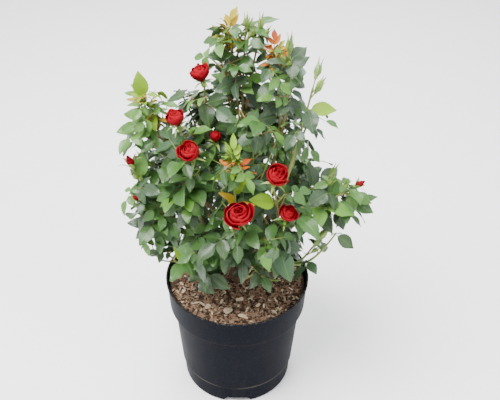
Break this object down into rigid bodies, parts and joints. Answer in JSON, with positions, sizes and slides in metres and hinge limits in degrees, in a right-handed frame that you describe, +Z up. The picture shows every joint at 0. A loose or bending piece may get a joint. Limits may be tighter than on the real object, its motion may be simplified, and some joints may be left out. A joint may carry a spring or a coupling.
{
  "type": "potted rose bush",
  "caption": "Bushy rose in a black plastic nursery pot: leafy canes in separate masses, open red blooms, buds and new growth over bark-mulched soil.",
  "frame": {"origin": "centre of the pot's flat underside", "axes": "+Z up, +X to the right and +Y to the back as the plant is seen from its front"},
  "size_m": [0.347, 0.3082, 0.6364],
  "materials": {
    "pot": "charcoal polypropylene, matt",
    "soil": "shredded bark mulch on potting compost",
    "stump": "brown bark",
    "bark": "olive green cane",
    "leaves": "glossy green leaves on green twigs",
    "petals": "velvet red petals"
  },
  "bodies": {
    "root": {"pot": "pot", "soil": "soil", "trunk": "stump", "bough_back_high": "bark", "bough_back_left": "bark", "bough_back_low": "bark", "bough_back_right": "bark", "bough_crown_right": "bark", "bough_crown_top": "bark", "bough_far_left": "bark", "bough_front_bloom": "bark", "bough_front_right": "bark", "bough_heart": "bark", "bough_left_blooms": "bark", "bough_left_mid": "bark", "bough_right_high": "bark", "bough_right_low": "bark", "bough_right_mid": "bark", "bough_upper_left": "bark", "foliage_back_high": "leaves", "foliage_back_left": "leaves", "foliage_back_left_skirt": "leaves", "foliage_back_low": "leaves", "foliage_back_right": "leaves", "foliage_back_right_skirt": "leaves", "foliage_crown_right": "leaves", "foliage_crown_top": "leaves", "foliage_far_left": "leaves", "foliage_front_bloom": "leaves", "foliage_front_left_skirt": "leaves", "foliage_front_right": "leaves", "foliage_front_right_skirt": "leaves", "foliage_front_skirt": "leaves", "foliage_heart": "leaves", "foliage_left_blooms": "leaves", "foliage_left_mid": "leaves", "foliage_left_skirt": "leaves", "foliage_right_high": "leaves", "foliage_right_low": "leaves", "foliage_right_mid": "leaves", "foliage_right_skirt": "leaves", "foliage_upper_left": "leaves", "bloom_1": "petals", "bloom_10": "petals", "bloom_11": "petals", "bloom_2": "petals", "bloom_3": "petals", "bloom_4": "petals", "bloom_5": "petals", "bloom_6": "petals", "bloom_7": "petals", "bloom_8": "petals", "bloom_9": "petals"}
  },
  "joints": []
}
